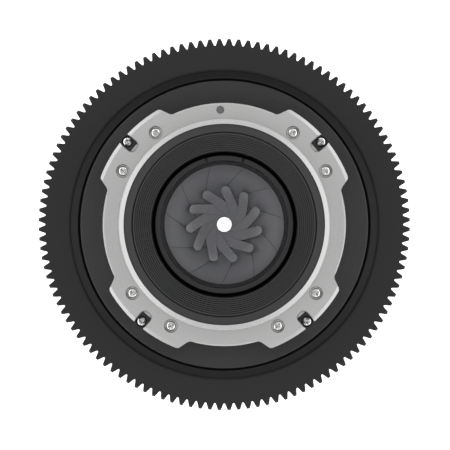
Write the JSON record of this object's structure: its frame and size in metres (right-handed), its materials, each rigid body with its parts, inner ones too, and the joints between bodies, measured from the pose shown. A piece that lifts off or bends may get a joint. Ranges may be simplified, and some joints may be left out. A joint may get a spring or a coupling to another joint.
{
  "type": "cinema prime lens",
  "caption": "Cylindrical cinema prime lens with a four-lug bayonet mount, geared focus and iris rings, a filter thread and a working iris.",
  "frame": {"origin": "centre of the mount's seat face on the optical axis", "axes": "+Z along the optical axis to the camera, +Y to the top of the lens, +X to the right as seen from the camera side"},
  "size_m": [0.0976, 0.0976, 0.125],
  "materials": {
    "mount_steel": "fine bead-blasted stainless steel",
    "screw_steel": "bright plated steel",
    "dowel_steel": "blackened steel",
    "brass": "machined",
    "black_base": "black anodised, turned",
    "black_ring": "black anodised, satin",
    "black_cell": "black anodised, matt",
    "seal_rubber": "moulded",
    "bush_plastic": "machined, self-lubricating",
    "blade_steel": "grey coated spring steel",
    "glass": "coated optical glass"
  },
  "bodies": {
    "lens_body": {"mount_flange": "mount_steel", "mount_screws": "screw_steel", "flange_shim": "brass", "mount_dowel": "dowel_steel", "rear_base": "black_base", "base_screws": "screw_steel", "rear_baffle": "black_cell", "rear_seal": "seal_rubber", "rear_cell": "black_cell", "rear_retaining_ring": "black_cell", "rear_spacer": "black_cell", "rear_element_1": "glass", "rear_element_2": "glass", "rear_element_3": "glass", "iris_case": "black_cell", "iris_cover": "black_cell", "iris_ring_nut": "black_base", "iris_stop_pin": "screw_steel", "main_barrel": "black_ring", "focus_stop_pin": "screw_steel", "front_ring": "black_ring", "front_ring_screws": "screw_steel", "front_cell": "black_cell", "front_element_1": "glass", "front_retaining_ring": "black_cell", "front_element_2": "glass", "front_inner_ring": "black_cell"},
    "iris_ring_body": {"iris_ring": "black_ring", "iris_ring_bush": "bush_plastic", "iris_drive_pin": "screw_steel", "iris_cam_ring": "brass"},
    "focus_ring_body": {"focus_ring": "black_ring", "focus_cam_tube": "brass", "focus_key": "screw_steel", "focus_bush_rear": "bush_plastic", "focus_bush_front": "bush_plastic"},
    "focus_group": {"focus_cell": "black_cell", "cam_followers": "brass", "follower_screws": "screw_steel", "focus_element_1": "glass", "focus_element_2": "glass", "focus_element_3": "glass", "focus_spacer": "black_cell", "focus_retaining_ring": "black_cell"},
    "blade_01": {"iris_blade_01": "blade_steel"},
    "blade_02": {"iris_blade_02": "blade_steel"},
    "blade_03": {"iris_blade_03": "blade_steel"},
    "blade_04": {"iris_blade_04": "blade_steel"},
    "blade_05": {"iris_blade_05": "blade_steel"},
    "blade_06": {"iris_blade_06": "blade_steel"},
    "blade_07": {"iris_blade_07": "blade_steel"},
    "blade_08": {"iris_blade_08": "blade_steel"},
    "blade_09": {"iris_blade_09": "blade_steel"},
    "blade_10": {"iris_blade_10": "blade_steel"},
    "blade_11": {"iris_blade_11": "blade_steel"}
  },
  "joints": [
    {"name": "focus_turn", "type": "hinge", "parent": "lens_body", "child": "focus_ring_body", "pos_m": [0, 0, -0.0769], "axis": [0, 0, 1], "range_deg": [0, 170]},
    {"name": "focus_slide", "type": "slide", "parent": "lens_body", "child": "focus_group", "axis": [0, 0, -1], "range_m": [0, 0.009]},
    {"name": "iris_turn", "type": "hinge", "parent": "lens_body", "child": "iris_ring_body", "pos_m": [0, 0, -0.027], "axis": [0, 0, 1], "range_deg": [-60, 0]},
    {"name": "blade_01_swing", "type": "hinge", "parent": "lens_body", "child": "blade_01", "pos_m": [-0.00151, -0.018, -0.035], "axis": [0, 0, 1], "range_deg": [-45, 0]},
    {"name": "blade_02_swing", "type": "hinge", "parent": "lens_body", "child": "blade_02", "pos_m": [0.00846, -0.01596, -0.035], "axis": [0, 0, 1], "range_deg": [-45, 0]},
    {"name": "blade_03_swing", "type": "hinge", "parent": "lens_body", "child": "blade_03", "pos_m": [0.01574, -0.00885, -0.035], "axis": [0, 0, 1], "range_deg": [-45, 0]},
    {"name": "blade_04_swing", "type": "hinge", "parent": "lens_body", "child": "blade_04", "pos_m": [0.01803, 0.00107, -0.035], "axis": [0, 0, 1], "range_deg": [-45, 0]},
    {"name": "blade_05_swing", "type": "hinge", "parent": "lens_body", "child": "blade_05", "pos_m": [0.01459, 0.01064, -0.035], "axis": [0, 0, 1], "range_deg": [-45, 0]},
    {"name": "blade_06_swing", "type": "hinge", "parent": "lens_body", "child": "blade_06", "pos_m": [0.00652, 0.01684, -0.035], "axis": [0, 0, 1], "range_deg": [-45, 0]},
    {"name": "blade_07_swing", "type": "hinge", "parent": "lens_body", "child": "blade_07", "pos_m": [-0.00362, 0.01769, -0.035], "axis": [0, 0, 1], "range_deg": [-45, 0]},
    {"name": "blade_08_swing", "type": "hinge", "parent": "lens_body", "child": "blade_08", "pos_m": [-0.01261, 0.01293, -0.035], "axis": [0, 0, 1], "range_deg": [-45, 0]},
    {"name": "blade_09_swing", "type": "hinge", "parent": "lens_body", "child": "blade_09", "pos_m": [-0.0176, 0.00406, -0.035], "axis": [0, 0, 1], "range_deg": [-45, 0]},
    {"name": "blade_10_swing", "type": "hinge", "parent": "lens_body", "child": "blade_10", "pos_m": [-0.017, -0.0061, -0.035], "axis": [0, 0, 1], "range_deg": [-45, 0]},
    {"name": "blade_11_swing", "type": "hinge", "parent": "lens_body", "child": "blade_11", "pos_m": [-0.011, -0.01432, -0.035], "axis": [0, 0, 1], "range_deg": [-45, 0]}
  ],
  "couplings": [
    {"joint": "focus_slide", "follows": "focus_turn", "m_per_rad": 0.0030333},
    {"joint": "blade_01_swing", "follows": "iris_turn", "ratio": 0.75},
    {"joint": "blade_02_swing", "follows": "iris_turn", "ratio": 0.75},
    {"joint": "blade_03_swing", "follows": "iris_turn", "ratio": 0.75},
    {"joint": "blade_04_swing", "follows": "iris_turn", "ratio": 0.75},
    {"joint": "blade_05_swing", "follows": "iris_turn", "ratio": 0.75},
    {"joint": "blade_06_swing", "follows": "iris_turn", "ratio": 0.75},
    {"joint": "blade_07_swing", "follows": "iris_turn", "ratio": 0.75},
    {"joint": "blade_08_swing", "follows": "iris_turn", "ratio": 0.75},
    {"joint": "blade_09_swing", "follows": "iris_turn", "ratio": 0.75},
    {"joint": "blade_10_swing", "follows": "iris_turn", "ratio": 0.75},
    {"joint": "blade_11_swing", "follows": "iris_turn", "ratio": 0.75}
  ]
}
